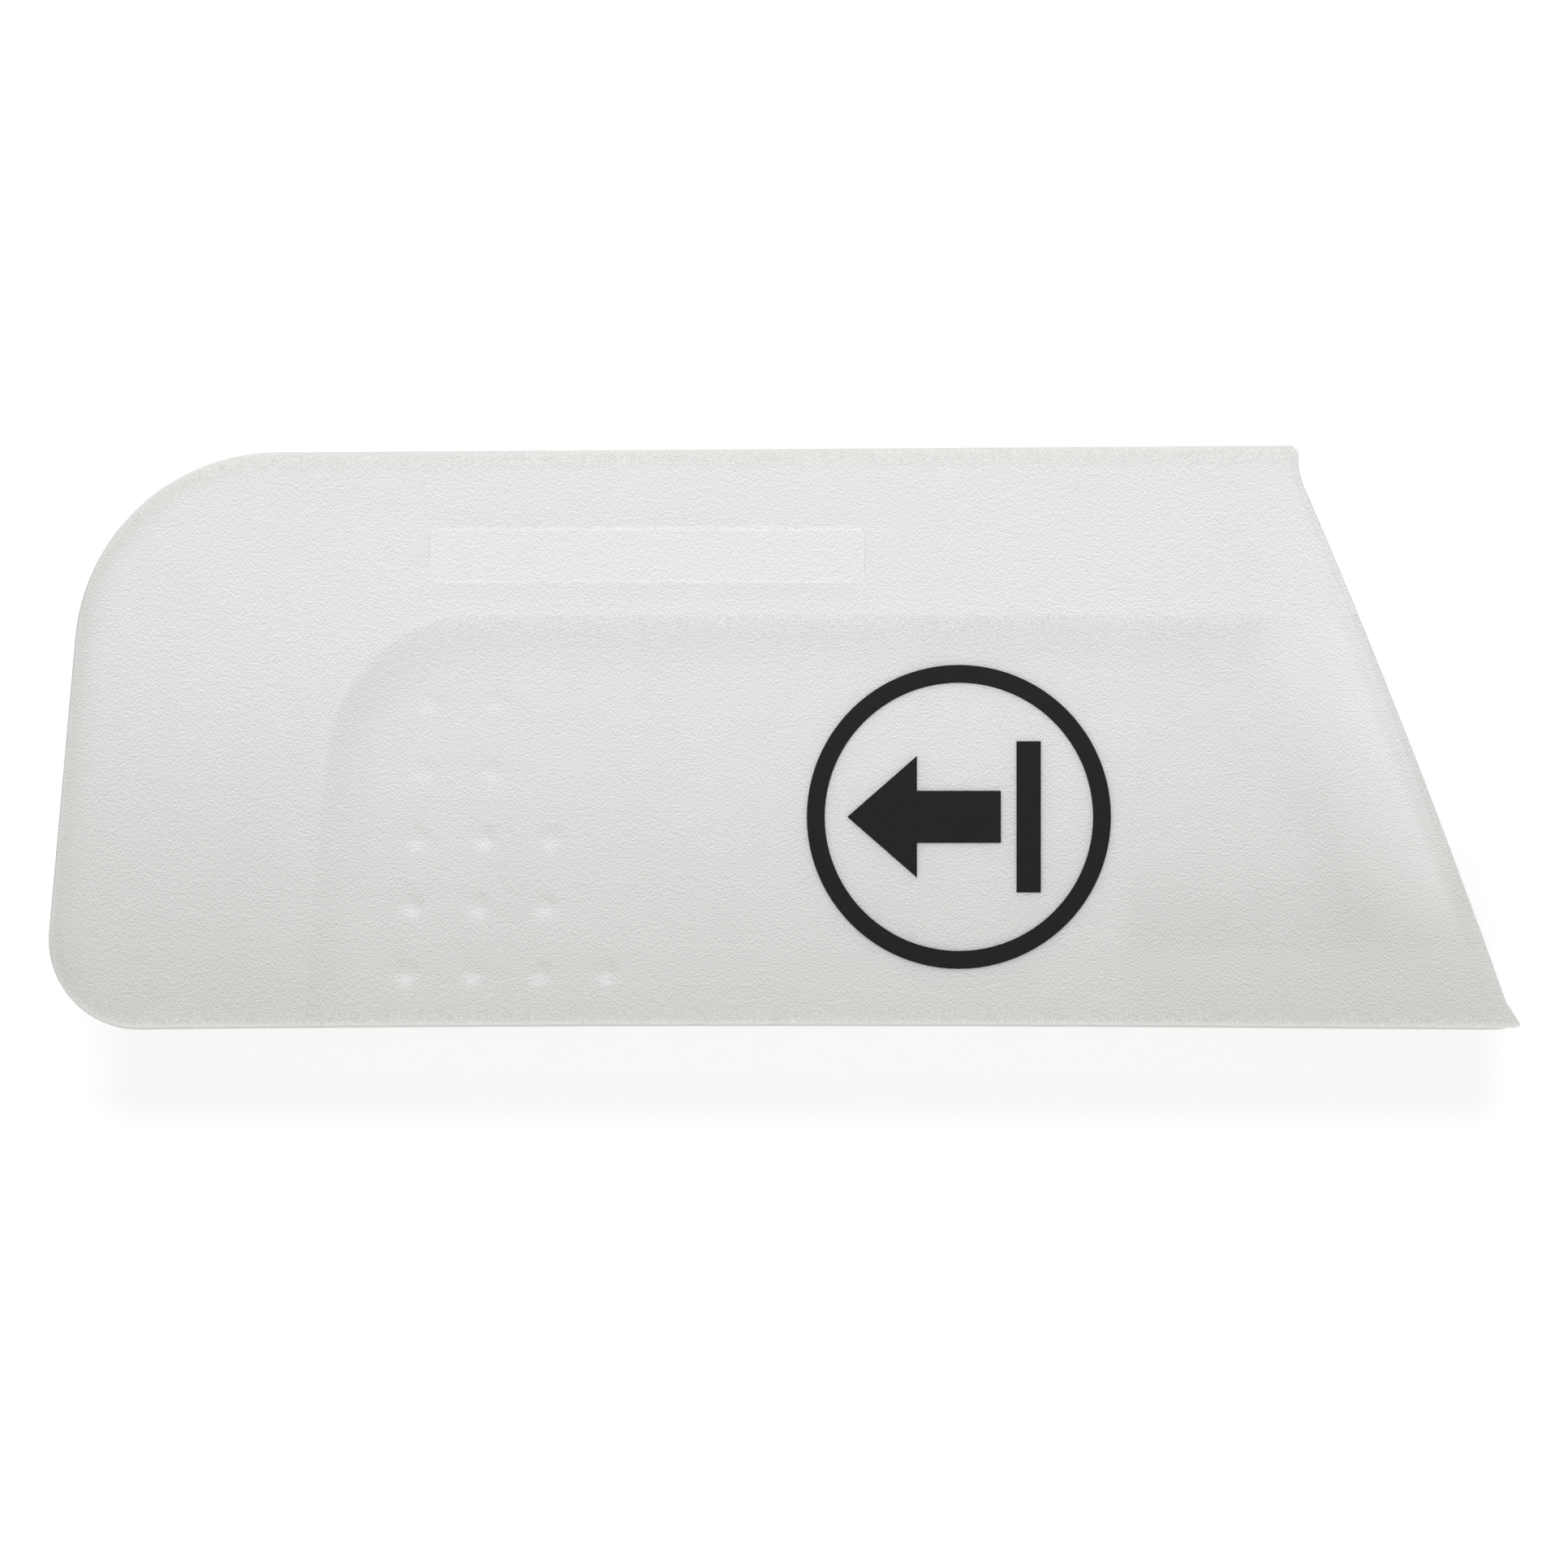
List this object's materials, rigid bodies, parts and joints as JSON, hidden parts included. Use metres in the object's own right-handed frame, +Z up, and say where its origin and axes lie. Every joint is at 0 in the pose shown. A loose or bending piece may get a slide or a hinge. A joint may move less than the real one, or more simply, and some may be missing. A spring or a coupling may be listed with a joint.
{
  "type": "knife blade cap",
  "caption": "Rigid pocket cap for a short knife blade: an oblong moulded casing with a raised L-shaped band, a dimpled thumb recess and a slanted open mouth.",
  "frame": {"origin": "centre of the cap's length and height, on the surface that the cap lies on", "axes": "+X from the closed end to the mouth, +Y from the blade's edge to its back, +Z up through the printed half"},
  "size_m": [0.0847, 0.0336, 0.0118],
  "materials": {
    "shell_plastic": "fine spark-eroded grain, slightly translucent",
    "print_ink": "matt pad-printed ink"
  },
  "bodies": {
    "root": {"front_shell": "shell_plastic", "rear_shell": "shell_plastic", "print_ring": "print_ink", "print_arrow": "print_ink", "print_bar": "print_ink"}
  },
  "joints": []
}
